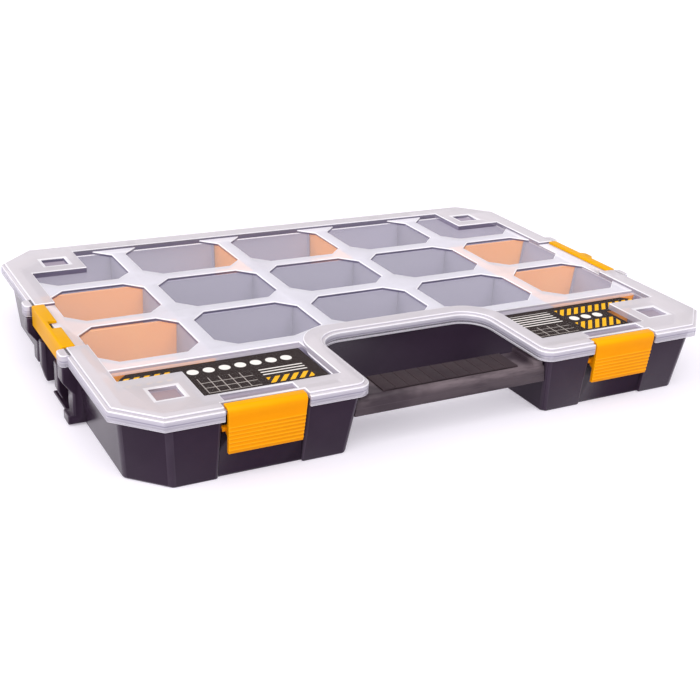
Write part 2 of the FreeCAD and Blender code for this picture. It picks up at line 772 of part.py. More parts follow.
def build_tray():
    body = new_body("tray")
    foot = tray_outline(
        "foot_length / 2", "foot_depth / 2", "foot_depth / 2", "foot_corner",
        "well_foot_width / 2", "well_foot_back", "well_corner",
    )
    rim = tray_outline(
        "top_length / 2", "top_depth / 2", "top_depth / 2", "top_corner",
        "well_top_width / 2", "well_top_back", "well_corner",
    )
    outer = [
        loop_sketch(body, "outer_foot", "XY_Plane", [foot]),
        loop_sketch(body, "outer_rim", "XY_Plane", [rim], "tray_height"),
    ]
    loft(body, "AdditiveLoft", outer)
    inner = [
        loop_sketch(body, "inner_floor", "XY_Plane", [inner_outline("floor_thick")], "floor_thick"),
        loop_sketch(body, "inner_rim", "XY_Plane", [inner_outline("tray_height")], "tray_height"),
    ]
    loft(body, "SubtractiveLoft", inner)

    # Sunk panels in the front wall, where the latches hang, and sockets for their axles
    reach = "(panel_foot + latch_face)"
    panel_profile = [
        ("-panel_foot", "0"),
        ("-panel_top", "tray_height"),
        (minus(reach), "tray_height"),
        (minus(reach), "0"),
    ]
    panel = loop_sketch(body, "panel", "YZ_Plane", [panel_profile], "-latch_pitch / 2")
    panel_cut = extrude(body, "Pocket", panel, "panel_width", "Symmetric")
    mirror(body, [panel_cut])
    socket = new_sketch(body, "latch_socket", "YZ_Plane", "-latch_pitch / 2")
    draw_circle(socket, "-axis_front", "axis_height", "axle_radius + axle_play")
    socket_length = "latch_width + (axle_reach + axle_end_gap) * 2"
    socket_cut = extrude(body, "Pocket", socket, socket_length, "Symmetric")
    mirror(body, [socket_cut])

    # Side fins; the two lugs carry the side latch
    fins = []
    for name, back, length, points in side_fins():
        sketch = loop_sketch(body, name, "XZ_Plane", [points], minus(back))
        fins.append(extrude(body, "Pad", sketch, length))
    shelf_points = [
        (f"-({wall_at('fin_lift')} - fin_root)", "fin_lift"),
        (f"-({wall_at('fin_lift')} - fin_root)", "fin_lift + shelf_thick"),
        ("-fin_step", "fin_lift + shelf_thick"),
        ("-fin_step", "fin_lift"),
    ]
    shelf = loop_sketch(body, "fin_shelf", "XZ_Plane", [shelf_points])
    fins.append(extrude(body, "Pad", shelf, "side_length / 2 + axle_end_gap * 2"))
    mirror(body, fins)
    pivot = new_sketch(body, "side_socket", "XZ_Plane")
    draw_circle(pivot, "-pivot_out", "pivot_height", "pivot_radius + axle_play")
    pivot_length = "side_length + (pivot_reach + axle_end_gap) * 2"
    pivot_cut = extrude(body, "Pocket", pivot, pivot_length, "Symmetric")
    mirror(body, [pivot_cut])

    # Hinge lugs on the back wall, either side of each lid knuckle
    lug_root = "top_depth / 2 - tray_wall"
    low = "hinge_height - knuckle_radius"
    high = "hinge_height + knuckle_radius"
    near = "hinge_back - knuckle_radius"
    rear = "hinge_back + knuckle_radius"
    lug_profile = [
        (lug_root, "lug_foot"),
        (rear, f"{low} - knuckle_radius"),
        (rear, high, "knuckle_round"),
        (near, high, "knuckle_round"),
        (near, "lug_top"),
        (lug_root, "lug_top"),
    ]
    lug_offset = "(knuckle_length / 2 + lug_gap)"
    starts = (f"-hinge_pitch / 2 + {lug_offset}", f"-hinge_pitch / 2 - {lug_offset} - lug_thick")
    lugs = []
    for name, start in zip(("inner_lug", "outer_lug"), starts):
        sketch = loop_sketch(body, name, "YZ_Plane", [lug_profile], start)
        lugs.append(extrude(body, "Pad", sketch, "lug_thick"))
    mirror(body, lugs)
    bore = new_sketch(body, "lug_bore", "YZ_Plane", "-hinge_pitch / 2")
    draw_circle(bore, "hinge_back", "hinge_height", "hinge_pin_radius + hinge_pin_play")
    bore_length = "knuckle_length + (lug_gap + lug_thick + hinge_pin_radius) * 2"
    bore_cut = extrude(body, "Pocket", bore, bore_length, "Symmetric")
    mirror(body, [bore_cut])
    return body


# Fixed partitions, moulded with the tray: one plate each

def plate(label, role, points, middle, thick, grooves=()):
    """A plate drawn on an upright plane, centred on its line, with grooves for dividers."""
    body = new_body(label)
    lift = middle if role == "YZ_Plane" else minus(middle)
    sketch = loop_sketch(body, f"{label}_outline", role, [points], lift)
    extrude(body, "Pad", sketch, thick, "Symmetric")
    for name, loop, length in grooves:
        groove = loop_sketch(body, name, "XY_Plane", [loop], "floor_thick")
        extrude(body, "Pocket", groove, length, reversed_way=True)
    return body


def upright(left_low, right_low, right_high, left_high, top):
    return [
        (left_low, "floor_thick"), (right_low, "floor_thick"),
        (right_high, top), (left_high, top),
    ]


half_plate = "partition_thick / 2"
wall_rise = "partition_top - floor_thick"


def groove_loop(across, along, deep_across, deep_along):
    """A groove's outline in plan, sized to a divider and its clearance."""
    width = "divider_thick + divider_gap * 2"
    length = width if deep_along else "groove_sink * 2"
    depth = width if deep_across else "groove_sink * 2"
    return centred_box(across, along, length, depth)


def build_partitions():
    bodies = []
    back_low = inner_back("floor_thick")
    back_high = inner_back("partition_top")
    well_low = f"({slanted('well_foot_back', 'well_top_back', 'floor_thick')} - tray_wall)"
    well_high = f"({slanted('well_foot_back', 'well_top_back', 'partition_top')} - tray_wall)"
    rows = {"back": "row_back", "middle": "row_middle", "front": "row_front"}
    for name, sign in (("left", "-"), ("right", "")):
        line = f"{sign}column_outer"
        start = f"row_front - {half_plate} - partition_thick"
        face = f"{sign}(column_outer + {half_plate})"
        grooves = []
        for row, along in rows.items():
            loop = groove_loop(face, along, True, False)
            grooves.append((f"groove_{name}_{row}", loop, wall_rise))
        outline = upright(start, back_low, back_high, start, "partition_top")
        bodies.append(plate(f"column_wall_{name}", "YZ_Plane", outline, line, "partition_thick", grooves))

        inner_line = f"{sign}column_inner"
        cell_back = upright(
            f"row_middle + {half_plate}", f"row_back - {half_plate}",
            f"row_back - {half_plate}", f"row_middle + {half_plate}", "partition_top",
        )
        bodies.append(plate(f"cell_wall_back_{name}", "YZ_Plane", cell_back, inner_line, "partition_thick"))
        cell_front = upright(
            minus(well_low), f"row_middle - {half_plate}",
            f"row_middle - {half_plate}", minus(well_high), "partition_top",
        )
        bodies.append(plate(f"cell_wall_front_{name}", "YZ_Plane", cell_front, inner_line, "partition_thick"))

        # The front walls end at the well's cut corner
        well_cut = "(well_corner + corner_share * tray_wall)"
        ends = []
        for height, well_rear in (("floor_thick", well_low), ("partition_top", well_high)):
            well_side = f"({slanted('well_foot_width / 2', 'well_top_width / 2', height)} + tray_wall)"
            ends.append(f"{well_side} - ({well_cut} + row_front + {well_rear}) + {half_plate}")
        far = f"column_outer - {half_plate}"
        points = [(far, "floor_thick"), (ends[0], "floor_thick"),
                  (ends[1], "partition_top"), (far, "partition_top")]
        if sign:
            points = [(minus(across), up) for across, up in points]
        bodies.append(plate(f"front_wall_{name}", "XZ_Plane", points, "row_front", "partition_thick"))

    span = f"column_outer - {half_plate}"
    row_outline = upright(minus(span), span, span, minus(span), "partition_top")
    back_grooves = []
    for name, sign in (("left", "-"), ("right", "")):
        loop = groove_loop(f"{sign}column_inner", f"row_back + {half_plate}", False, True)
        back_grooves.append((f"groove_back_{name}", loop, wall_rise))
    bodies.append(plate("row_wall_back", "XZ_Plane", row_outline, "row_back", "partition_thick", back_grooves))
    bodies.append(plate("row_wall_front", "XZ_Plane", row_outline, "row_middle", "partition_thick"))
    return bodies


# Loose dividers: three across each outer column and two in the back row

def build_dividers():
    bodies = []
    top = "partition_top - divider_drop"
    side_low = f"{inner_side('floor_thick')} - divider_gap"
    side_high = f"{inner_side(top)} - divider_gap"
    inner_end = f"column_outer + {half_plate} - groove_sink + divider_gap"
    across = upright(inner_end, side_low, side_high, inner_end, top)
    rows = {"back": "row_back", "middle": "row_middle", "front": "row_front"}
    for name, mirrored in (("left", True), ("right", False)):
        points = [(minus(point[0]), point[1]) for point in across] if mirrored else across
        for row, along in rows.items():
            bodies.append(plate(f"divider_{name}_{row}", "XZ_Plane", points, along, "divider_thick"))
    back_low = f"{inner_back('floor_thick')} - divider_gap"
    back_high = f"{inner_back(top)} - divider_gap"
    near_end = f"row_back + {half_plate} - groove_sink + divider_gap"
    along = upright(near_end, back_low, back_high, near_end, top)
    for name, sign in (("left", "-"), ("right", "")):
        line = f"{sign}column_inner"
        bodies.append(plate(f"divider_rear_{name}", "YZ_Plane", along, line, "divider_thick"))
    return bodies


# Front latch: a leaning plate with a hook, finger ridges and an axle across its back

def build_front_latch(label, across):
    body = new_body(label)
    top = "latch_top"
    hook_tip = "-(lid_depth / 2 - notch_depth + hook_gap)"
    hook_low = f"{top} - latch_wall"
    lean = f"((latch_face - latch_toe) / ({top} - latch_bottom))"

    def face(height):
        return f"(-latch_toe - {lean} * ({height} - latch_bottom))"

    outline = [(hook_tip, top), (face(top), top, "latch_round")]
    pitch = f"((ridge_top - ridge_bottom) / {ridge_count})"
    for ridge in range(ridge_count):
        foot = f"(ridge_top - {pitch} * {ridge})"
        crest = f"({foot} - {pitch} / 2)"
        outline.append((face(foot), foot))
        outline.append((f"{face(crest)} - ridge_rise", crest))
    outline.append((face("ridge_bottom"), "ridge_bottom"))
    outline.append((face("latch_bottom"), "latch_bottom"))
    outline.append((f"{face('latch_bottom')} + latch_wall", "latch_bottom"))
    outline.append((f"{face(hook_low)} + latch_wall", hook_low))
    outline.append((hook_tip, hook_low))
    profile = loop_sketch(body, f"{label}_profile", "YZ_Plane", [outline])
    extrude(body, "Pad", profile, "latch_width", "Symmetric")
    # Both sides draw in a little towards the finger end
    low = "latch_bottom - latch_taper"
    right_side = [
        ("latch_width / 2", top), ("latch_width / 2 - latch_taper", low),
        ("latch_width / 2 + latch_taper", low), ("latch_width / 2 + latch_taper", top),
    ]
    left_side = [(minus(point[0]), point[1]) for point in right_side]
    taper = loop_sketch(body, f"{label}_taper", "XZ_Plane", [right_side, left_side])
    extrude(body, "Pocket", taper, "lid_depth", "Symmetric")

    middle = "-axis_front"
    gusset_points = [
        (f"{face('gusset_top')} + latch_wall / 2", "gusset_top"),
        (f"{face('gusset_bottom')} + latch_wall / 2", "gusset_bottom"),
        (middle, "axis_height - gusset_radius"),
        (f"{middle} + gusset_radius", "axis_height - gusset_radius / 2"),
        (f"{middle} + gusset_radius", "axis_height + gusset_radius / 2"),
        (middle, "axis_height + gusset_radius"),
    ]
    start = "latch_width / 2 - latch_taper - gusset_thick"
    gusset = loop_sketch(body, f"{label}_gusset", "YZ_Plane", [gusset_points], start)
    gusset_pad = extrude(body, "Pad", gusset, "gusset_thick")
    mirror(body, [gusset_pad])
    axle = new_sketch(body, f"{label}_axle", "YZ_Plane")
    draw_circle(axle, middle, "axis_height", "axle_radius")
    extrude(body, "Pad", axle, "latch_width + axle_reach * 2", "Symmetric")
    place(body, across)
    return body


# Side latches: a low plate on two stub axles, with tabs that fold over the lid's seat

def side_profile(tab_tip):
    out = "pivot_out + boss_radius"
    inner = f"{out} - side_wall"
    low = "pivot_height - boss_radius"
    high = "case_height - seat_drop + side_lift + tab_thick"
    under = "case_height - seat_drop + side_lift"
    chin = "boss_radius / 2"
    return [
        (out, f"{low} + {chin}"),
        (out, high, "tab_round"),
        (tab_tip, high, "tab_round"),
        (tab_tip, under),
        (inner, under),
        (inner, "pivot_height + boss_rise + tab_round"),
        ("pivot_out - boss_radius", "pivot_height + boss_rise"),
        ("pivot_out - boss_radius", f"{low} + {chin}"),
        (f"pivot_out - {chin}", low),
        (f"pivot_out + {chin}", low),
    ]


def build_side_latch(label, mirrored):
    body = new_body(label)
    out = "pivot_out + boss_radius"
    tab_tip = f"{out} - side_reach" if mirrored else f"{out} - lip_reach"
    points = side_profile(tab_tip)
    if mirrored:
        points = [(minus(point[0]), *point[1:]) for point in points]
    profile = loop_sketch(body, f"{label}_profile", "XZ_Plane", [points])
    extrude(body, "Pad", profile, "side_length", "Symmetric")
    axle = new_sketch(body, f"{label}_axle", "XZ_Plane")
    draw_circle(axle, "-pivot_out" if mirrored else "pivot_out", "pivot_height", "pivot_radius")
    extrude(body, "Pad", axle, "side_length + pivot_reach * 2", "Symmetric")
    under = "case_height - seat_drop + side_lift"
    if mirrored:
        # The left latch has a slot between its two tabs
        slot_loop = box_loop(f"-({out} - side_wall)", f"-({tab_tip} - tab_round)", "-tab_slot / 2", "tab_slot / 2")
        slot = loop_sketch(body, f"{label}_slot", "XY_Plane", [slot_loop], under)
        extrude(body, "Pocket", slot, "tab_thick * 2", reversed_way=True)
    else:
        # The right latch has a tongue that stands out at its middle
        tip = f"{out} + tongue_reach"
        tongue_loop = [
            (f"{out} - side_wall / 2", "-tongue_width / 2"), (tip, "-tongue_width / 2", "tongue_round"),
            (tip, "tongue_width / 2", "tongue_round"), (f"{out} - side_wall / 2", "tongue_width / 2"),
        ]
        tongue = loop_sketch(body, f"{label}_tongue", "XY_Plane", [tongue_loop], f"{under} - tab_round")
        extrude(body, "Pad", tongue, "tab_thick")
    return body


# Hinge pins: a steel rod through the lugs and the knuckle

def build_hinge_pin(label, across):
    body = new_body(label)
    rod = new_sketch(body, f"{label}_section", "YZ_Plane")
    draw_circle(rod, "hinge_back", "hinge_height", "hinge_pin_radius")
    extrude(body, "Pad", rod, "knuckle_length + (lug_gap + lug_thick) * 2", "Symmetric")
    place(body, across)
    return body


# Handle: a channel bar between the two front blocks, with a ribbed pad on top

def build_handle():
    body = new_body("handle_bar")
    front, back = "-bar_front", "-bar_back"
    profile = [
        (back, "bar_back_bottom"),
        (back, "bar_top", "bar_wall"),
        (front, "bar_top", "bar_round"),
        (front, "bar_bottom"),
        (f"{front} + bar_wall", "bar_bottom"),
        (f"{front} + bar_wall", "bar_top - bar_wall", "bar_round - bar_wall"),
        (f"{back} - bar_wall", "bar_top - bar_wall"),
        (f"{back} - bar_wall", "bar_back_bottom"),
    ]
    section = loop_sketch(body, "bar_section", "YZ_Plane", [profile])
    extrude(body, "Pad", section, "well_foot_width", "Symmetric")
    # Trim both ends to the well's drafted side walls
    low, high = "bar_bottom - bar_wall", "bar_top + bar_wall"
    side_low = slanted("well_foot_width / 2", "well_top_width / 2", low)
    side_high = slanted("well_foot_width / 2", "well_top_width / 2", high)
    end = "well_foot_width / 2 + bar_wall"
    right = [(side_low, low), (end, low), (end, high), (side_high, high)]
    left = [(minus(across), up) for across, up in right]
    ends = loop_sketch(body, "bar_ends", "XZ_Plane", [right, left])
    extrude(body, "Pocket", ends, "lid_depth", "Symmetric")

    pad = new_body("grip_pad")
    near, far = "-(bar_front - grip_front_gap)", "-(bar_back + grip_back_gap)"
    pad_top = "bar_top + grip_thick"
    pad_profile = [
        (near, "bar_top"), (far, "bar_top"),
        (far, pad_top, "grip_round"), (near, pad_top, "grip_round"),
    ]
    pad_section = loop_sketch(pad, "grip_section", "YZ_Plane", [pad_profile])
    extrude(pad, "Pad", pad_section, "grip_length", "Symmetric")
    slots = []
    for index in range(1, grip_pads):
        across = f"-grip_length / 2 + grip_length * {index} / {grip_pads}"
        left_side = f"{across} - grip_slot / 2"
        right_side = f"{across} + grip_slot / 2"
        slots.append(box_loop(left_side, right_side, f"{near} - grip_slot", f"{far} + grip_slot"))
    slot = loop_sketch(pad, "grip_slots", "XY_Plane", slots, pad_top)
    extrude(pad, "Pocket", slot, "grip_slot_drop")
    return [body, pad]


# Contents cards: thin sheets held against the underside of the front panes

def build_card(label, mirrored):
    body = new_body(label)
    card_back = "row_front - rib_width / 2 - card_gap"
    points = [
        (f"{field_side} + card_gap + card_cut", card_back),
        (f"{field_side} + card_gap", f"{card_back} - card_cut"),
        (f"{field_side} + card_gap", f"{block_fore} + card_gap"),
        (f"{block_side} + card_gap", f"{block_fore} + card_gap"),
        (f"{block_side} + card_gap", f"{field_front} + card_gap"),
        (f"{field_recess_side} - card_gap", f"{field_front} + card_gap"),
        (f"{field_recess_side} - card_gap", card_back),
    ]
    if mirrored:
        points = [(minus(across), along) for across, along in points]
    sheet_sketch = loop_sketch(body, f"{label}_outline", "XY_Plane", [points], "pane_bottom")
    extrude(body, "Pad", sheet_sketch, "card_thick", reversed_way=True)
    return body


parts = [build_tray(), build_lid()]
parts += build_partitions()
parts += build_dividers()
parts.append(build_front_latch("front_latch_left", "-latch_pitch / 2"))
parts.append(build_front_latch("front_latch_right", "latch_pitch / 2"))
parts.append(build_side_latch("side_latch_left", True))
parts.append(build_side_latch("side_latch_right", False))
parts.append(build_hinge_pin("hinge_pin_left", "-hinge_pitch / 2"))
parts.append(build_hinge_pin("hinge_pin_right", "hinge_pitch / 2"))
parts += build_handle()
parts.append(build_card("contents_card_left", False))
parts.append(build_card("contents_card_right", True))
doc.recompute()

for item in doc.Objects:
    if "Invalid" in item.State or "Error" in item.State:
        raise RuntimeError(f"{item.Label} failed: {item.State}")
for part in parts:
    if part.Shape.isNull() or not part.Shape.isValid() or len(part.Shape.Solids) != 1:
        raise RuntimeError(f"{part.Label} is not one valid solid")

os.makedirs("parts", exist_ok=True)
for part in parts:
    part.Shape.exportStep(f"parts/{part.Label}.step")
    box = part.Shape.BoundBox
    print(f"{part.Label}: {part.Shape.Volume:.0f} mm3, z {box.ZMin:.1f} to {box.ZMax:.1f}")
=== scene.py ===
import json
import math

import bmesh
import bpy
from mathutils import Matrix, Vector
from mathutils.bvhtree import BVHTree


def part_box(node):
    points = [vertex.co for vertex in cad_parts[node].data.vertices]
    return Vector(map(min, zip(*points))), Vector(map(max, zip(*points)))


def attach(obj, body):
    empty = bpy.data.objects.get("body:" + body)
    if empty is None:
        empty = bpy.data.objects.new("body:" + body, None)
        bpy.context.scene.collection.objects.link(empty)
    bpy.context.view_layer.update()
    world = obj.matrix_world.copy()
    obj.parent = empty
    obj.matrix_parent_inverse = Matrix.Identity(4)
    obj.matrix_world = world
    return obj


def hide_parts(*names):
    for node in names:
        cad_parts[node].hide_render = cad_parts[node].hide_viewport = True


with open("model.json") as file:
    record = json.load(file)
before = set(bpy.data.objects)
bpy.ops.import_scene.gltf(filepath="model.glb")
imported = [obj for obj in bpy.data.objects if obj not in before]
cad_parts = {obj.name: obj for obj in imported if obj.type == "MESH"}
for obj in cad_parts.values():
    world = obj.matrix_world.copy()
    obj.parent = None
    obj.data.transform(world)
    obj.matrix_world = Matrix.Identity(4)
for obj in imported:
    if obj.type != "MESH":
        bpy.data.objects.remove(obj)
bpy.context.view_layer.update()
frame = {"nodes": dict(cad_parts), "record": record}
nodes = frame["nodes"]
print("frame loaded:", len(nodes), "nodes")


# Shader maths: a wire wraps one socket, so values can be added and multiplied in plain expressions

class Wire:
    def __init__(self, finish, socket):
        self.finish = finish
        self.socket = socket

    def maths(self, operation, first, second=0.0):
        return self.finish.node("Math", {"operation": operation}, {0: first, 1: second})

    def __add__(self, other):
        return self.maths("ADD", self, other)

    __radd__ = __add__

    def __sub__(self, other):
        return self.maths("SUBTRACT", self, other)

    def __rsub__(self, other):
        return self.maths("SUBTRACT", other, self)

    def __mul__(self, other):
        return self.maths("MULTIPLY", self, other)

    __rmul__ = __mul__

    def __truediv__(self, other):
        return self.maths("DIVIDE", self, other)

    def cycle(self, period):
        return self.maths("FRACT", self / period)

    def size(self):
        return self.maths("ABSOLUTE", self)

    def either(self, other):
        return self.maths("MAXIMUM", self, other)

    def above(self, edge, soft):
        sockets = {"Value": self, "From Min": edge - soft, "From Max": edge + soft}
        return self.finish.node("MapRange", {"interpolation_type": "SMOOTHSTEP"}, sockets)

    def below(self, edge, soft):
        return 1 - self.above(edge, soft)

    def between(self, low, high, soft):
        return self.above(low, soft) * self.below(high, soft)


class Finish:
    def __init__(self, owner):
        owner.use_nodes = True
        self.owner = owner
        self.tree = owner.node_tree
        self.tree.nodes.clear()

    # one way to add any node: settings first, then the values or links of its sockets
    def node(self, kind, settings=None, sockets=None, out=0):
        made = self.tree.nodes.new("ShaderNode" + kind)
        for key, setting in (settings or {}).items():
            setattr(made, key, setting)
        for key, given in (sockets or {}).items():
            if isinstance(given, Wire):
                self.tree.links.new(given.socket, made.inputs[key])
            else:
                made.inputs[key].default_value = given
        return Wire(self, made.outputs[out]) if made.outputs else None

    def place(self):
        return self.node("TexCoord", out="Object")

    def axes(self):
        split = self.node("SeparateXYZ", None, {"Vector": self.place()})
        outputs = split.socket.node.outputs
        return [Wire(self, outputs[name]) for name in "XYZ"]

    # one part of the surface's own direction, from -1 to 1
    def facing(self, axis):
        normal = self.node("TexCoord", out="Normal")
        return self.node("SeparateXYZ", None, {"Vector": normal}, out=axis)

    def noise(self, scale, detail=2.0, rough=0.5, stretch=None):
        vector = self.place()
        if stretch:
            vector = self.node("Mapping", None, {"Vector": vector, "Scale": stretch})
        sockets = {"Vector": vector, "Scale": scale, "Detail": detail, "Roughness": rough}
        return self.node("TexNoise", None, sockets)

    def painted(self, share, first, second):
        return self.node("Mix", {"data_type": "RGBA"}, {0: share, 6: first, 7: second}, out=2)

    def faceMark(self, name):
        return self.node("Attribute", {"attribute_name": name}, None, out="Fac")

    def bump(self, height, strength, distance):
        sockets = {"Height": height, "Strength": strength, "Distance": distance}
        return self.node("Bump", None, sockets)

    # rays that show the surroundings themselves: seen directly, in a gloss or through the lid
    def shown(self):
        names = ("Is Camera Ray", "Is Glossy Ray", "Is Transmission Ray")
        camera, glossy, through = (self.node("LightPath", out=name) for name in names)
        return camera.either(glossy).either(through)

    def done(self, sockets):
        surface = self.node("BsdfPrincipled", None, sockets)
        self.node("OutputMaterial", None, {"Surface": surface})
        return self.owner


def newFinish(name):
    return Finish(bpy.data.materials.new(name))


# written as the colour looks on screen, kept as linear light
def shade(code, alpha=1.0):
    channels = [int(code[at:at + 2], 16) / 255 for at in (1, 3, 5)]
    linear = [c / 12.92 if c <= 0.04045 else ((c + 0.055) / 1.055) ** 2.4 for c in channels]
    return (*linear, alpha)


# Mouldings: a copy of a CAD node with its outer edges rounded, and the rounded faces marked

mouldLook = {
    "merge": 2e-6,
    "flat": 0.8,
    "sharp": 28.0,
    "crease": 35.0,
    "share": 0.45,
    "segments": 3,
    "upright": 0.8,
    "ground": 0.0005,
    "bends": (0.35, 2.8),
}


# how wide a rounding the faces beside an edge can take
def roomAt(edge):
    room = math.inf
    least, most = mouldLook["bends"]
    for corner in edge.verts:
        along = edge.other_vert(corner).co - corner.co
        for face in edge.link_faces:
            for other in corner.link_edges:
                if other == edge or face not in other.link_faces:
                    continue
                aside = other.other_vert(corner).co - corner.co
                bend = along.angle(aside)
                if least < bend < most:
                    room = min(room, aside.length * math.sin(bend))
    return room * mouldLook["share"]


def wantedRound(edge, look):
    first, second = (vert.co for vert in edge.verts)
    length = (second - first).length
    upright = abs(second.z - first.z) > mouldLook["upright"] * length
    if upright and length > look.get("cornerLength", 1.0):
        return look["cornerRound"]
    if max(first.z, second.z) < mouldLook["ground"]:
        return look.get("footRound", look["edgeRound"])
    return look["edgeRound"]


def softened(name, look):
    work = bmesh.new()
    work.from_mesh(nodes[name].data)
    bmesh.ops.remove_doubles(work, verts=work.verts, dist=mouldLook["merge"])
    flat = math.radians(mouldLook["flat"])
    bmesh.ops.dissolve_limit(work, angle_limit=flat, verts=work.verts, edges=work.edges)
    weight = work.edges.layers.float.new("bevel_weight_edge")
    widest = max(look["edgeRound"], look.get("cornerRound", 0.0), look.get("footRound", 0.0))
    for face in work.faces:
        face.smooth = True
    for edge in work.edges:
        if len(edge.link_faces) != 2 or edge.calc_face_angle(0) < math.radians(mouldLook["sharp"]):
            continue
        if edge.is_convex:
            edge[weight] = min(wantedRound(edge, look), roomAt(edge)) / widest
        else:
            edge.smooth = False
    rough = bpy.data.meshes.new(f"{name}Rough")
    work.to_mesh(rough)
    work.free()
    rough.materials.append(None)
    rough.materials.append(None)
    holder = bpy.data.objects.new(f"{name}Rough", rough)
    bpy.context.scene.collection.objects.link(holder)
    rounding = holder.modifiers.new("rounding", "BEVEL")
    rounding.limit_method = "WEIGHT"
    rounding.width = widest
    rounding.segments = mouldLook["segments"]
    rounding.use_clamp_overlap = False
    rounding.harden_normals = True
    rounding.material = 1
    evaluated = holder.evaluated_get(bpy.context.evaluated_depsgraph_get())
    mesh = bpy.data.meshes.new_from_object(evaluated)
    mesh.name = f"{name}Moulding"
    bpy.data.objects.remove(holder)
    mark = mesh.attributes.new("edge", "FLOAT", "FACE")
    for polygon in mesh.polygons:
        mark.data[polygon.index].value = float(polygon.material_index)
        polygon.material_index = 0
    piece = bpy.data.objects.new(f"{name}_moulding", mesh)
    bpy.context.scene.collection.objects.link(piece)
    return piece


def dress(piece, name, body, material):
    piece.data.materials.clear()
    piece.data.materials.append(material)
    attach(piece, body)
    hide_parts(name)
    return piece


def meshTree(name):
    mesh = nodes[name].data
    return BVHTree.FromPolygons([v.co for v in mesh.vertices], [p.vertices[:] for p in mesh.polygons])


slotOf = {entry["node"]: entry["material_slot"] for entry in frame["record"]["subparts"]}
bodyOf = {}
for bodyName, members in frame["record"]["behaviour"]["bodies"].items():
    for member in members:
        bodyOf[member] = bodyName


# Tray and partitions: dark moulded plastic with a fine spark-eroded grain

trayLook = {
    "colour": "#241826",
    "dusty": "#2c202e",
    "inside": "#9c95aa",
    "worn": "#6e6472",
    "sheen": "#8d7a94",
    "grain": 2600.0,
    "roughness": 0.15,
    "edgeRound": 0.0007,
    "cornerRound": 0.0024,
    "cornerLength": 0.012,
    "footRound": 0.0016,
    "probe": 0.002,
    "ways": ((0, 0, -1), (1, 0, 0), (-1, 0, 0), (0, 1, 0), (0, -1, 0)),
}
plateLook = {"edgeRound": 0.00025, "cornerRound": 0.00025}


def trayPlastic():
    finish = newFinish("trayPlastic")
    cloud = finish.noise(14.0, 4.0, 0.6)
    grain = finish.noise(trayLook["grain"], 2.0, 0.6)
    smear = finish.noise(60.0, 3.0, 0.55, (1.0, 1.0, 0.25))
    dust = cloud.between(0.45, 1.1, 0.12) * 0.7
    inside = finish.faceMark("inside")
    base = finish.painted(dust, shade(trayLook["colour"]), shade(trayLook["dusty"]))
    base = finish.painted(finish.faceMark("edge") * smear * 0.3, base, shade(trayLook["worn"]))
    # inside faces are painted paler: painted light in the compartments
    base = finish.painted(inside, base, shade(trayLook["inside"]))
    rough = trayLook["roughness"] + smear * 0.08 + grain * 0.04 + inside * 0.35
    normal = finish.bump(grain * 0.6 + smear * 0.25, 0.2, 0.00012)
    return finish.done({
        "Base Color": base, "Roughness": rough, "Normal": normal,
        "Specular IOR Level": 0.5, "Specular Tint": shade(trayLook["sheen"]),
    })


# the compartments' floor and walls are painted paler than the outside, painted light standing in for
# the light in them, and are rougher: a face counts as inside where a point just off it has the tray's
# floor below it and the tray's walls all round it
def walledIn(spot):
    for way in trayLook["ways"]:
        hit, normal = trayTree.ray_cast(spot, way)[:2]
        if hit is None or normal.dot(Vector(way)) > 0:
            return False
    return True


# the middle of the widest triangle of each face, which lies on the face even where it is notched
def facePoints(mesh):
    mesh.calc_loop_triangles()
    widest = {}
    for triangle in mesh.loop_triangles:
        rival = widest.get(triangle.polygon_index)
        if rival is None or triangle.area > rival.area:
            widest[triangle.polygon_index] = triangle
    points = {}
    for index, triangle in widest.items():
        points[index] = sum((mesh.vertices[at].co for at in triangle.vertices), Vector()) / 3
    return points


def markInside(piece, wholly):
    mesh = piece.data
    mark = mesh.attributes.new("inside", "FLOAT", "FACE")
    points = facePoints(mesh)
    for polygon in mesh.polygons:
        spot = points.get(polygon.index, polygon.center) + polygon.normal * trayLook["probe"]
        mark.data[polygon.index].value = 1.0 if wholly or walledIn(spot) else 0.0


trayTree = meshTree("tray")
darkPlastic = trayPlastic()
wallNodes = [name for name in slotOf if "_wall" in name]
for name in wallNodes + ["tray"]:
    piece = softened(name, trayLook if name == "tray" else plateLook)
    markInside(piece, name != "tray")
    dress(piece, name, bodyOf[name], darkPlastic)
print("tray and partitions:", len(wallNodes) + 1)


# Handle bar: the tray's plastic, rubbed and scuffed by hands, with a moulding line along its front

barLook = {
    "colour": "#32272f",
    "scuffed": "#74676c",
    "line": "#4d424a",
    "lineHeight": 0.0276,
    "lineHalf": 0.0002,
    "frontDepth": 0.0005,
    "rubbedFrom": 0.0305,
    "rubbedBlur": 0.0025,
    "roughness": 0.42,
    "edgeRound": 0.0006,
    "cornerRound": 0.0006,
}


def barPlastic():
    finish = newFinish("barPlastic")
    along, up = finish.axes()[1:]
    streak = finish.noise(70.0, 4.0, 0.65, (0.22, 1.0, 1.0))
    patch = finish.noise(26.0, 3.0, 0.6)
    grain = finish.noise(2400.0, 2.0, 0.6)
    high = up.above(barLook["rubbedFrom"], barLook["rubbedBlur"])
    scuff = streak.above(0.52, 0.10) * patch.above(0.42, 0.14) * (0.24 + high * 0.56)
    lineHeight, lineHalf = barLook["lineHeight"], barLook["lineHalf"]
    front = along.below(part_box("handle_bar")[0].y + barLook["frontDepth"], lineHalf)
    line = up.between(lineHeight - lineHalf, lineHeight + lineHalf, lineHalf / 2) * front
    base = finish.painted(scuff, shade(barLook["colour"]), shade(barLook["scuffed"]))
    base = finish.painted(line * 0.5, base, shade(barLook["line"]))
    rough = barLook["roughness"] + scuff * 0.25 + grain * 0.05
    normal = finish.bump(grain * 0.5 + streak * 0.5 + line, 0.2, 0.00015)
    return finish.done({
        "Base Color": base, "Roughness": rough, "Normal": normal, "Specular IOR Level": 0.24,
    })


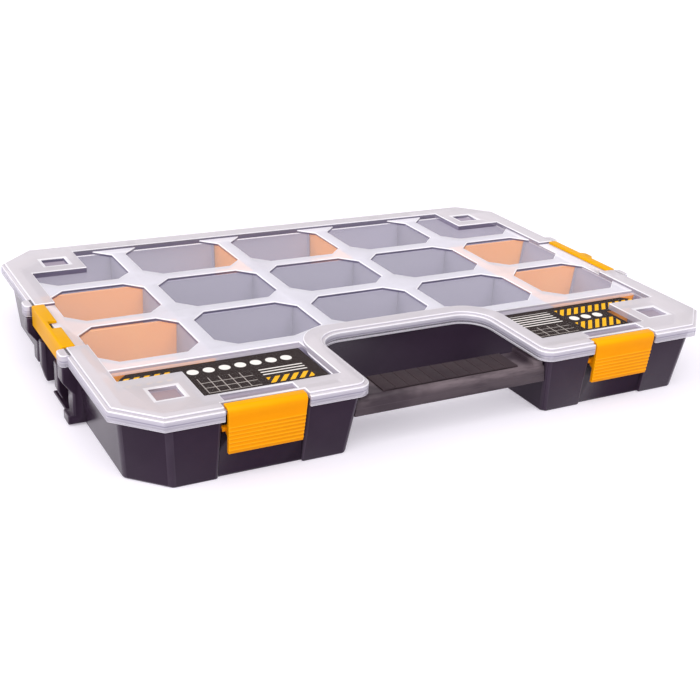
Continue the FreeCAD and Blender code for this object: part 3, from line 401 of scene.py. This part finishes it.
rubbedPlastic = barPlastic()
dress(softened("handle_bar", barLook), "handle_bar", "tray", rubbedPlastic)
print("handle bar done")


# Repeated ribs: one node tree sets copies of a small moulding in a row

def repeatTree():
    tree = bpy.data.node_groups.new("ribRow", "GeometryNodeTree")
    inputs = (
        ("Moulding", "NodeSocketGeometry"), ("Count", "NodeSocketInt"),
        ("Step", "NodeSocketVector"), ("Plastic", "NodeSocketMaterial"),
    )
    for label, kind in inputs:
        tree.interface.new_socket(label, in_out="INPUT", socket_type=kind)
    tree.interface.new_socket("Row", in_out="OUTPUT", socket_type="NodeSocketGeometry")
    given = tree.nodes.new("NodeGroupInput").outputs
    result = tree.nodes.new("NodeGroupOutput").inputs
    line = tree.nodes.new("GeometryNodeMeshLine")
    copies = tree.nodes.new("GeometryNodeInstanceOnPoints")
    real = tree.nodes.new("GeometryNodeRealizeInstances")
    coat = tree.nodes.new("GeometryNodeSetMaterial")
    for source, target in (
        (given["Count"], line.inputs["Count"]),
        (given["Step"], line.inputs["Offset"]),
        (line.outputs["Mesh"], copies.inputs["Points"]),
        (given["Moulding"], copies.inputs["Instance"]),
        (copies.outputs["Instances"], real.inputs["Geometry"]),
        (real.outputs["Geometry"], coat.inputs["Geometry"]),
        (given["Plastic"], coat.inputs["Material"]),
        (coat.outputs["Geometry"], result["Row"]),
    ):
        tree.links.new(source, target)
    return tree


ribRow = repeatTree()


def repeated(mesh, count, step, material):
    holder = bpy.data.objects.new("ribHolder", mesh)
    bpy.context.scene.collection.objects.link(holder)
    row = holder.modifiers.new("row", "NODES")
    row.node_group = ribRow
    chosen = {"Count": count, "Step": step, "Plastic": material}
    for item in ribRow.interface.items_tree:
        if item.in_out == "INPUT" and item.name in chosen:
            row[item.identifier] = chosen[item.name]
    evaluated = holder.evaluated_get(bpy.context.evaluated_depsgraph_get())
    finished = bpy.data.meshes.new_from_object(evaluated)
    bpy.data.objects.remove(holder)
    return finished


# a plate or bar from a closed outline, pushed out both ways, its edges eased
def slab(outline, thickness, easing):
    work = bmesh.new()
    rings = []
    for side in (-1, 1):
        rings.append([work.verts.new(point + thickness * (side * 0.5)) for point in outline])
    count = len(outline)
    work.faces.new(rings[0])
    work.faces.new(rings[1])
    for at in range(count):
        ahead = (at + 1) % count
        work.faces.new((rings[0][at], rings[0][ahead], rings[1][ahead], rings[1][at]))
    bmesh.ops.recalc_face_normals(work, faces=work.faces)
    bmesh.ops.bevel(work, geom=work.edges[:], offset=easing, segments=2, profile=0.5, affect="EDGES")
    mesh = bpy.data.meshes.new("slab")
    work.to_mesh(mesh)
    work.free()
    return mesh


def joined(name, meshes):
    work = bmesh.new()
    for mesh in meshes:
        work.from_mesh(mesh)
    for face in work.faces:
        face.smooth = True
    for edge in work.edges:
        edge.smooth = edge.calc_face_angle(0) < math.radians(mouldLook["crease"])
    mesh = bpy.data.meshes.new(name)
    work.to_mesh(mesh)
    work.free()
    piece = bpy.data.objects.new(name, mesh)
    bpy.context.scene.collection.objects.link(piece)
    return piece


# Divider guides: a pair of ribs on the tray's wall at each loose divider's end

guideLook = {
    "width": 0.0012, "rise": 0.0014, "sunk": 0.0004, "clear": 0.0003, "easing": 0.0003,
    "heights": (0.0022, 0.0390), "headDrop": 0.0015, "sideProbe": 0.16, "rearProbe": 0.10,
}
webLook = {
    "thickness": 0.0014, "count": 9, "pitch": 0.0120, "easing": 0.0002,
    "inset": 0.0020, "lift": 0.0015, "rearDrop": 0.0075,
}
postLook = {"inner": 0.0585, "outer": 0.0645, "top": 0.0369, "lean": 0.0006, "easing": 0.0006}


# the wall's inner face beside a divider, near the floor and near the top
def wallLine(start, outward):
    spots = []
    for height in guideLook["heights"]:
        spots.append(trayTree.ray_cast(Vector((start[0], start[1], height)), outward)[0])
    return spots


def guidePair(start, outward):
    foot, head = wallLine(start, outward)
    aside = Vector((-outward[1], outward[0], 0))
    deep = Vector(outward) * guideLook["sunk"]
    proud = Vector(outward) * -guideLook["rise"]
    drop = Vector((0, 0, -guideLook["headDrop"]))
    pair = []
    for side in (-1, 1):
        shift = aside * side * (dividerHalf + guideLook["clear"] + guideLook["width"] / 2)
        outline = [spot + shift for spot in (foot + deep, foot + proud, head + proud + drop, head + deep)]
        pair.append(slab(outline, aside * guideLook["width"], guideLook["easing"]))
    return pair


def ribsOf(start, outward, count, step):
    return [repeated(mesh, count, step, darkPlastic) for mesh in guidePair(start, outward)]


low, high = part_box("divider_left_front")
dividerHalf = (high.y - low.y) / 2
rowStart = (low.y + high.y) / 2
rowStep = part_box("divider_left_middle")[0].y - low.y
rearLow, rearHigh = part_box("divider_rear_left")
rearStart = (rearLow.x + rearHigh.x) / 2
guideMeshes = []
for sideways in (-1, 1):
    guideStart = (sideways * guideLook["sideProbe"], rowStart)
    guideMeshes += ribsOf(guideStart, (sideways, 0, 0), 3, (0, rowStep, 0))
guideMeshes += ribsOf((rearStart, guideLook["rearProbe"]), (0, 1, 0), 2, (-2 * rearStart, 0, 0))

# stiffening webs inside the handle bar's channel
low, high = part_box("handle_bar")
webSide = -(webLook["count"] - 1) * webLook["pitch"] / 2
webFront, webBack = low.y + webLook["inset"], high.y - webLook["inset"]
webTop = high.z - webLook["inset"]
webOutline = [
    Vector((webSide, webFront, low.z + webLook["lift"])),
    Vector((webSide, webFront, webTop)),
    Vector((webSide, webBack, webTop)),
    Vector((webSide, webBack, high.z - webLook["rearDrop"])),
]
web = slab(webOutline, Vector((webLook["thickness"], 0, 0)), webLook["easing"])
webMeshes = [repeated(web, webLook["count"], (webLook["pitch"], 0, 0), darkPlastic)]

# a post at each end of the bar, up to just under the lid's skirt
postMiddle = (postLook["inner"] + postLook["outer"]) / 2
postWidth = Vector((postLook["outer"] - postLook["inner"], 0, 0))
postMeshes = []
for sideways in (-1, 1):
    postSide = sideways * postMiddle
    postOutline = [
        Vector((postSide, low.y, low.z)),
        Vector((postSide, low.y + postLook["lean"], postLook["top"])),
        Vector((postSide, high.y, postLook["top"])),
        Vector((postSide, high.y, low.z)),
    ]
    postMeshes.append(slab(postOutline, postWidth, postLook["easing"]))

for pieceName, meshes, within, plastic in (
    ("divider_guides", guideMeshes, True, darkPlastic),
    ("bar_webs", webMeshes, False, darkPlastic),
    ("bar_posts", postMeshes, False, rubbedPlastic),
):
    piece = joined(pieceName, meshes)
    markInside(piece, within)
    piece.data.materials.clear()
    piece.data.materials.append(plastic)
    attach(piece, "tray")
print("guides, webs and posts done")


# Lid: milky polypropylene, frosted on rim and ribs, clearer in the sunk panes and in their walls

lidLook = {
    "rim": "#cfc8ce",
    "rib": "#efecf5",
    "pane": "#dadae2",
    "wall": "#77718a",
    "farWallShade": "#57506a",
    "cardWall": "#b4adbc",
    "skirt": "#c4bfcc",
    "socket": "#b3a6b4",
    "edge": "#f7f4f9",
    "rimAlpha": 0.82,
    "ribAlpha": 0.69,
    "paneAlpha": 0.25,
    "underAlpha": 0.02,
    "wallAlpha": 0.55,
    "farWallShadeAlpha": 0.3,
    "cardWallAlpha": 0.8,
    "skirtAlpha": 0.72,
    "socketAlpha": 0.6,
    "cardPaneAlpha": 0.015,
    "cardStripAlpha": 0.55,
    "stripDepth": 0.0075,
    "edgeAlpha": 0.95,
    "skirtEdge": 0.75,
    "hemHeight": 0.0379,
    "bandHeight": 0.0412,
    "bandClear": 0.2,
    "wellClear": 0.32,
    "roughness": 0.27,
    "edgeRound": 0.0006,
    "cornerRound": 0.0024,
    "grooveHeight": 0.0421,
    "grooveHalf": 0.0004,
}
lidShape = {
    "halfLength": 0.2060, "halfDepth": 0.1454, "cornerCut": 0.0233,
    "recessHalf": 0.0595, "recessBack": -0.0704, "cardBack": -0.0720,
    "ribDrop": 0.0020, "paneDrop": 0.0040, "underDrop": 0.0058, "outer": 0.0036,
    "socketDrop": 0.0028, "skirtDrop": 0.0075, "wallDrop": 0.0045, "near": 0.0003, "nearRib": 0.0001,
    "level": 0.9, "steep": 0.2,
    "wellHalf": 0.0640, "wellFront": -0.1400,
    "socketSide": 0.1710, "socketFront": -0.1150, "socketBack": 0.1130,
    "socketHalf": (0.0080, 0.00725), "frame": 0.0021,
}
zoneNames = ("rim", "rib", "pane", "under", "wall", "skirt", "socket", "cardPane", "cardWall")
zoneOf = {name: float(number) for number, name in enumerate(zoneNames)}


# how far a point lies inside the lid's outline
def insideLid(spot):
    across, along = abs(spot.x), abs(spot.y)
    reach = lidShape["halfLength"] + lidShape["halfDepth"] - lidShape["cornerCut"]
    corner = (reach - across - along) * math.sqrt(0.5)
    recess = max(across - lidShape["recessHalf"], spot.y - lidShape["recessBack"])
    return min(lidShape["halfLength"] - across, lidShape["halfDepth"] - along, corner, recess)


def zoneAt(polygon, top):
    spot = polygon.center
    drop = top - spot.z
    card = spot.y < lidShape["cardBack"] and abs(spot.x) > lidShape["recessHalf"]
    if polygon.normal.z > lidShape["level"]:
        if abs(drop - lidShape["paneDrop"]) < lidShape["near"]:
            return "cardPane" if card else "pane"
        if abs(drop - lidShape["ribDrop"]) < lidShape["nearRib"]:
            return "rib"
        return "socket" if lidShape["ribDrop"] < drop < lidShape["socketDrop"] else "rim"
    if polygon.normal.z < -lidShape["level"]:
        if drop > lidShape["skirtDrop"]:
            return "skirt"
        return "under" if abs(drop - lidShape["underDrop"]) < lidShape["near"] else "rim"
    if insideLid(spot) < lidShape["outer"]:
        return "skirt"
    if drop > lidShape["wallDrop"]:
        return "rim"
    return "cardWall" if card else "wall"


def markZones(piece):
    mesh = piece.data
    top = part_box("lid")[1].z
    mark = mesh.attributes.new("zone", "FLOAT", "FACE")
    edge = mesh.attributes["edge"]
    for polygon in mesh.polygons:
        mark.data[polygon.index].value = zoneOf[zoneAt(polygon, top)]
        # the painted edge highlight is kept off steep faces and weakened on the skirt
        if abs(polygon.normal.z) < lidShape["steep"]:
            edge.data[polygon.index].value = 0.0
        elif insideLid(polygon.center) < lidShape["outer"]:
            edge.data[polygon.index].value *= lidLook["skirtEdge"]


# a pale frame painted round each stacking socket, a painted highlight in place of the edges of a raised
# frame
def socketFrameHighlights(across, along):
    halfLong, halfWide = lidShape["socketHalf"]
    aside = (across.size() - lidShape["socketSide"]).size() - halfLong
    frameHighlights = []
    for middle in (lidShape["socketFront"], lidShape["socketBack"]):
        ahead = (along - middle).size() - halfWide
        frameHighlights.append(aside.either(ahead).below(lidShape["frame"], 0.0003))
    return frameHighlights[0].either(frameHighlights[1])


def lidPlastic():
    finish = newFinish("lidPlastic")
    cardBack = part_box("contents_card_left")[1].y
    mark = finish.faceMark("zone")
    zone = {name: mark.between(number - 0.5, number + 0.5, 0.1) for name, number in zoneOf.items()}
    edge = finish.faceMark("edge")
    across, along, up = finish.axes()
    haze = finish.noise(26.0, 4.0, 0.6)
    flow = finish.noise(9.0, 3.0, 0.6, (1.0, 3.0, 1.0))
    grain = finish.noise(1900.0, 2.0, 0.5)
    height, half = lidLook["grooveHeight"], lidLook["grooveHalf"]
    groove = up.between(height - half, height + half, 0.00015) * zone["skirt"]
    base = shade(lidLook["rim"])
    # each zone takes its own tint; the panes' walls take a dark one, painted shade along the panes' edges
    for name, colour in (
        ("rib", "rib"), ("pane", "pane"), ("cardPane", "pane"), ("wall", "wall"),
        ("cardWall", "cardWall"), ("skirt", "skirt"), ("socket", "socket"),
    ):
        base = finish.painted(zone[name], base, shade(lidLook[colour]))
    # the skirt's groove is painted darker besides its bump: a painted shade in the groove
    base = finish.painted(groove * 0.6, base, shade(lidLook["wall"]))
    # the panes' walls are painted dark and their far wall darker still, a painted shade line, and the
    # skirt's hem is painted pale, a painted highlight
    farWallShade = finish.facing("Y").below(-0.4, 0.2) * zone["wall"]
    base = finish.painted(farWallShade, base, shade(lidLook["farWallShade"]))
    hemHighlight = up.below(lidLook["hemHeight"], 0.0002) * zone["skirt"]
    band = up.between(lidLook["hemHeight"], lidLook["bandHeight"], 0.0004) * zone["skirt"]
    base = finish.painted(hemHighlight * 0.85, base, shade(lidLook["edge"]))
    # painted highlight round each stacking socket
    frameHighlights = socketFrameHighlights(across, along) * zone["rim"]
    base = finish.painted(frameHighlights * 0.75, base, shade(lidLook["edge"]))
    # the rounded edges are painted near-white: a painted highlight
    base = finish.painted(edge * 0.9, base, shade(lidLook["edge"]))
    milk = (haze - 0.5) * 0.10
    clear = (flow - 0.5) * 0.07
    alpha = zone["rim"] * (lidLook["rimAlpha"] + milk) + zone["rib"] * (lidLook["ribAlpha"] + milk)
    alpha = alpha + zone["pane"] * (lidLook["paneAlpha"] + clear)
    for name in ("under", "wall", "cardWall", "skirt", "socket", "cardPane"):
        alpha = alpha + zone[name] * lidLook[name + "Alpha"]
    strip = along.between(cardBack, cardBack + lidLook["stripDepth"], 0.0002) * zone["under"]
    alpha = alpha + farWallShade * lidLook["farWallShadeAlpha"] - band * lidLook["bandClear"] + hemHighlight * 0.2
    well = across.between(-lidShape["wellHalf"], lidShape["wellHalf"], 0.001)
    well = well * along.above(lidShape["wellFront"], 0.002) * band
    alpha = alpha + strip * lidLook["cardStripAlpha"] - well * lidLook["wellClear"]
    alpha = alpha * (1 - edge) + lidLook["edgeAlpha"] * edge
    # the milky top passes nearly all the light into the tray, the skirt shades what is under it
    shadow = finish.node("LightPath", out="Is Shadow Ray")
    alpha = alpha * (1 - shadow * (1 - zone["skirt"]))
    panes = zone["pane"] + zone["cardPane"]
    rough = lidLook["roughness"] + haze * 0.10 + (1 - panes) * 0.08
    relief = grain * (1 - panes * 0.8) + flow * 0.5 - groove * 2.0
    normal = finish.bump(relief, 0.12, 0.0001)
    return finish.done({
        "Base Color": base, "Roughness": rough, "Alpha": alpha, "Normal": normal, "IOR": 1.49,
    })


lidPiece = softened("lid", lidLook)
markZones(lidPiece)
dress(lidPiece, "lid", "lid", lidPlastic())
print("lid moulding:", len(lidPiece.data.polygons), "faces")


# Latches: amber plastic with a satin gloss, brushed faintly along its length

latchLook = {
    "front": "#eb9400",
    "frontDeep": "#e28700",
    "side": "#dd9e00",
    "sideDeep": "#d29000",
    "edge": "#ffb41c",
    "frontTopHighlight": "#f6ac00",
    "sideTopHighlight": "#e6a600",
    "topHighlightHeight": 0.0435,
    "roughness": 0.38,
    "edgeRound": 0.0004,
    "cornerRound": 0.0006,
}


def latchPlastic(place):
    finish = newFinish(f"{place}LatchPlastic")
    cloud = finish.noise(35.0, 3.0, 0.55)
    flow = finish.noise(120.0, 3.0, 0.6, (0.12, 1.0, 1.6))
    grain = finish.noise(2200.0, 2.0, 0.5)
    tone = (cloud.between(0.5, 1.2, 0.15) * 0.4).either(flow.between(0.54, 1.2, 0.08) * 0.35)
    base = finish.painted(tone, shade(latchLook[place]), shade(latchLook[place + "Deep"]))
    # the rounded top is painted lighter and yellower and the rounded edges lighter: painted highlights
    topHighlight = finish.axes()[2].above(latchLook["topHighlightHeight"], 0.004)
    base = finish.painted(topHighlight * 0.7, base, shade(latchLook[place + "TopHighlight"]))
    base = finish.painted(finish.faceMark("edge") * 0.45, base, shade(latchLook["edge"]))
    rough = latchLook["roughness"] + cloud * 0.10
    normal = finish.bump(grain * 0.4 + flow * 1.2, 0.16, 0.00012)
    return finish.done({
        "Base Color": base, "Roughness": rough, "Normal": normal, "Specular IOR Level": 0.07,
    })


for place in ("front", "side"):
    amber = latchPlastic(place)
    for name in (f"{place}_latch_left", f"{place}_latch_right"):
        dress(softened(name, latchLook), name, bodyOf[name], amber)
print("latches done")


# Dividers: thin orange plates, with a painted highlight along their edges

dividerLook = {
    "colour": "#ffa648",
    "deep": "#fd9834",
    "edge": "#ffbe80",
    "roughness": 0.42,
    "edgeRound": 0.00025,
    "cornerRound": 0.00025,
}


def dividerPlastic():
    finish = newFinish("dividerPlastic")
    cloud = finish.noise(22.0, 3.0, 0.6)
    grain = finish.noise(2400.0, 2.0, 0.5)
    tone = cloud.between(0.48, 1.2, 0.15) * 0.4
    base = finish.painted(tone, shade(dividerLook["colour"]), shade(dividerLook["deep"]))
    # rounded edges painted lighter: a painted highlight
    base = finish.painted(finish.faceMark("edge") * 0.7, base, shade(dividerLook["edge"]))
    rough = dividerLook["roughness"] + cloud * 0.12
    normal = finish.bump(grain, 0.12, 0.0001)
    return finish.done({
        "Base Color": base, "Roughness": rough, "Normal": normal, "Specular IOR Level": 0.3,
    })


orangePlastic = dividerPlastic()
dividerNodes = [name for name, slotName in slotOf.items() if slotName == "divider_plastic"]
for name in dividerNodes:
    dress(softened(name, dividerLook), name, bodyOf[name], orangePlastic)
print("dividers:", len(dividerNodes))


# Grip pad: soft dark rubber, stippled, with a brown cast

gripLook = {
    "colour": "#2b2026",
    "dust": "#382c30",
    "worn": "#4a3d40",
    "roughness": 0.66,
    "edgeRound": 0.0003,
    "cornerRound": 0.0003,
}


def gripRubber():
    finish = newFinish("gripRubber")
    cloud = finish.noise(40.0, 4.0, 0.6)
    stipple = finish.noise(1500.0, 3.0, 0.6)
    dust = cloud.between(0.45, 1.1, 0.15) * 0.6
    base = finish.painted(dust, shade(gripLook["colour"]), shade(gripLook["dust"]))
    base = finish.painted(finish.faceMark("edge") * 0.35, base, shade(gripLook["worn"]))
    rough = gripLook["roughness"] + stipple * 0.12
    normal = finish.bump(stipple, 0.35, 0.0003)
    return finish.done({
        "Base Color": base, "Roughness": rough, "Normal": normal, "Specular IOR Level": 0.18,
    })


dress(softened("grip_pad", gripLook), "grip_pad", "tray", gripRubber())
print("grip pad done")


# Hinge pins: drawn steel wire, left as the CAD solids

pinLook = {"colour": "#b9b9be", "dull": "#9c9ca4", "roughness": 0.3}


def pinSteel():
    finish = newFinish("pinSteel")
    drawn = finish.noise(900.0, 2.0, 0.5, (0.03, 1.0, 1.0))
    dull = drawn.above(0.55, 0.1) * 0.6
    base = finish.painted(dull, shade(pinLook["colour"]), shade(pinLook["dull"]))
    rough = pinLook["roughness"] + drawn * 0.15
    normal = finish.bump(drawn, 0.2, 0.00005)
    return finish.done({"Base Color": base, "Metallic": 1.0, "Roughness": rough, "Normal": normal})


# Contents cards: dark printed cards with plain bands, rows of dots, an empty chart and ruled lines

cardLook = {
    "ground": "#251b19",
    "fibre": "#30241f",
    "band": "#f2b410",
    "pale": "#efe9e4",
    "faint": "#b9b0ab",
    "roughness": 0.75,
    "blur": 0.0001,
    "gap": 0.00012,
    "slash": {"pitch": 0.0060, "slant": 0.8, "share": 0.55},
    "line": {"pitch": 0.0034, "share": 0.34},
    "chartLeft": {"column": 0.0064, "row": 0.0065},
    "chartRight": {"column": 0.0080, "row": 0.0050},
    "dot": {"pitch": 0.0098, "reach": 0.125},
    "marks": (
        ("dots", (-0.1490, -0.0800, -0.0890, -0.0785), "pale"),
        ("slashes", (-0.1875, -0.1560, -0.0900, -0.0785), "band"),
        ("chart", (-0.1455, -0.1135, -0.1130, -0.0935), "faint"),
        ("lines", (-0.1080, -0.0800, -0.1020, -0.0920), "pale"),
        ("slashes", (-0.1080, -0.0800, -0.1130, -0.1055), "band"),
        ("lines", (0.0800, 0.1120, -0.0960, -0.0785), "pale"),
        ("chart", (0.0800, 0.1120, -0.1130, -0.0990), "faint"),
        ("slashes", (0.1180, 0.1500, -0.1130, -0.1010), "band"),
        ("dots", (0.1180, 0.1475, -0.0985, -0.0900), "pale"),
        ("slashes", (0.1180, 0.1875, -0.0880, -0.0785), "band"),
    ),
}


def cardPrint():
    finish = newFinish("cardPrint")
    across, along = finish.axes()[:2]
    blur = cardLook["blur"]
    fibre = finish.noise(700.0, 3.0, 0.6)
    base = finish.painted(fibre * 0.4, shade(cardLook["ground"]), shade(cardLook["fibre"]))
    for kind, (left, right, front, back), colour in cardLook["marks"]:
        mask = across.between(left, right, blur) * along.between(front, back, blur)
        if kind == "slashes":
            slash = cardLook["slash"]
            slanted = across - along * slash["slant"]
            mask = mask * slanted.cycle(slash["pitch"]).below(slash["share"], 0.02)
        elif kind == "lines":
            line = cardLook["line"]
            mask = mask * (along - front).cycle(line["pitch"]).below(line["share"], 0.04)
        elif kind == "chart":
            chart = cardLook["chartLeft" if left < 0 else "chartRight"]
            columns = (across - left).cycle(chart["column"])
            rows = (along - front).cycle(chart["row"])
            mask = mask * columns.below(0.07, 0.03).either(rows.below(0.08, 0.03))
        else:
            dot = cardLook["dot"]
            wide = (across - left).cycle(dot["pitch"]) - 0.5
            tall = (along - (front + back) / 2) / dot["pitch"]
            mask = mask * (wide * wide + tall * tall).below(dot["reach"], 0.012)
        base = finish.painted(mask, base, shade(cardLook[colour]))
    rough = cardLook["roughness"] + fibre * 0.1
    normal = finish.bump(fibre, 0.1, 0.00008)
    return finish.done({
        "Base Color": base, "Roughness": rough, "Normal": normal, "Specular IOR Level": 0.02,
    })


# each card lies a hair below the pane it is held against
def thinCard(name):
    mesh = nodes[name].data.copy()
    low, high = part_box(name)
    for vert in mesh.vertices:
        if vert.co.z > (low.z + high.z) / 2:
            vert.co.z -= cardLook["gap"]
    work = bmesh.new()
    work.from_mesh(mesh)
    bmesh.ops.remove_doubles(work, verts=work.verts, dist=mouldLook["merge"])
    work.to_mesh(mesh)
    work.free()
    piece = bpy.data.objects.new(f"{name}_print", mesh)
    bpy.context.scene.collection.objects.link(piece)
    return piece


steel, printed = pinSteel(), cardPrint()
for side in ("left", "right"):
    slots = nodes[f"hinge_pin_{side}"].data.materials
    slots.clear()
    slots.append(steel)
    name = f"contents_card_{side}"
    dress(thinCard(name), name, bodyOf[name], printed)
print("cards and pins done")


# Floor, light and camera

stageLook = {
    "floorSeen": "#dcd9df",
    "floorBounce": "#dcd9df",
    "floorGlow": "#f3edf8",
    "glowShare": 0.35,
    "floorRough": 0.55,
    "skyTint": (1.0, 0.985, 1.0, 1.0),
    "floorSize": 14.0,
    "sky": 0.4,
    "key": {"strength": 1.45, "spread": 0.8, "heading": -100.0, "height": 30.0},
    "fill": {"strength": 2.55, "spread": 1.2, "heading": -15.0, "height": 48.0},
}

floorMesh = bpy.data.meshes.new("floorMesh")
half = stageLook["floorSize"] / 2
corners = [(-half, -half, 0), (half, -half, 0), (half, half, 0), (-half, half, 0)]
floorMesh.from_pydata(corners, [], [(0, 1, 2, 3)])
floor = bpy.data.objects.new("floor", floorMesh)
bpy.context.scene.collection.objects.link(floor)
paper = newFinish("floorPaper")
floorTone = paper.painted(paper.shown(), shade(stageLook["floorBounce"]), shade(stageLook["floorSeen"]))
floorGlow = paper.painted(paper.shown(), shade("#000000"), shade(stageLook["floorGlow"]))
floorMesh.materials.append(paper.done({
    "Base Color": floorTone, "Roughness": stageLook["floorRough"] + paper.noise(3.0) * 0.1,
    "Emission Color": floorGlow, "Emission Strength": stageLook["glowShare"],
}))

world = bpy.data.worlds.new("studioWorld")
bpy.context.scene.world = world
sky = Finish(world)
level = stageLook["sky"] + sky.shown() * (1 - stageLook["sky"])
glow = sky.node("Background", None, {"Color": stageLook["skyTint"], "Strength": level})
sky.node("OutputWorld", None, {"Surface": glow})


def sunLamp(name, look):
    lamp = bpy.data.lights.new(name, "SUN")
    lamp.energy = look["strength"]
    lamp.angle = look["spread"]
    holder = bpy.data.objects.new(name, lamp)
    bpy.context.scene.collection.objects.link(holder)
    turn, lift = math.radians(look["heading"]), math.radians(look["height"])
    source = Vector((math.sin(turn) * math.cos(lift), -math.cos(turn) * math.cos(lift), math.sin(lift)))
    holder.rotation_euler = source.to_track_quat("Z", "Y").to_euler()


sunLamp("keyLamp", stageLook["key"])
sunLamp("fillLamp", stageLook["fill"])

cameraView = {
    "place": (-0.3560, -0.6410, 0.3120),
    "turn": -29.404,
    "tilt": 23.135,
    "roll": 3.306,
    "lens": 58.41,
}

turn, tilt, roll = (math.radians(cameraView[key]) for key in ("turn", "tilt", "roll"))
backward = Vector((math.sin(turn) * math.cos(tilt), -math.cos(turn) * math.cos(tilt), math.sin(tilt)))
sideways = Vector((math.cos(turn), math.sin(turn), 0.0))
upward = backward.cross(sideways)
rolledSide = sideways * math.cos(roll) + upward * math.sin(roll)
rolledUp = upward * math.cos(roll) - sideways * math.sin(roll)
cameraData = bpy.data.cameras.new("photoCamera")
cameraData.lens = cameraView["lens"]
cameraData.sensor_width = 36.0
cameraData.clip_end = 50.0
camera = bpy.data.objects.new("photoCamera", cameraData)
bpy.context.scene.collection.objects.link(camera)
pose = Matrix((rolledSide, rolledUp, backward)).transposed().to_4x4()
pose.translation = Vector(cameraView["place"])
camera.matrix_world = pose
bpy.context.scene.camera = camera
bpy.context.scene.view_settings.view_transform = "Standard"
print("floor, light and camera set")
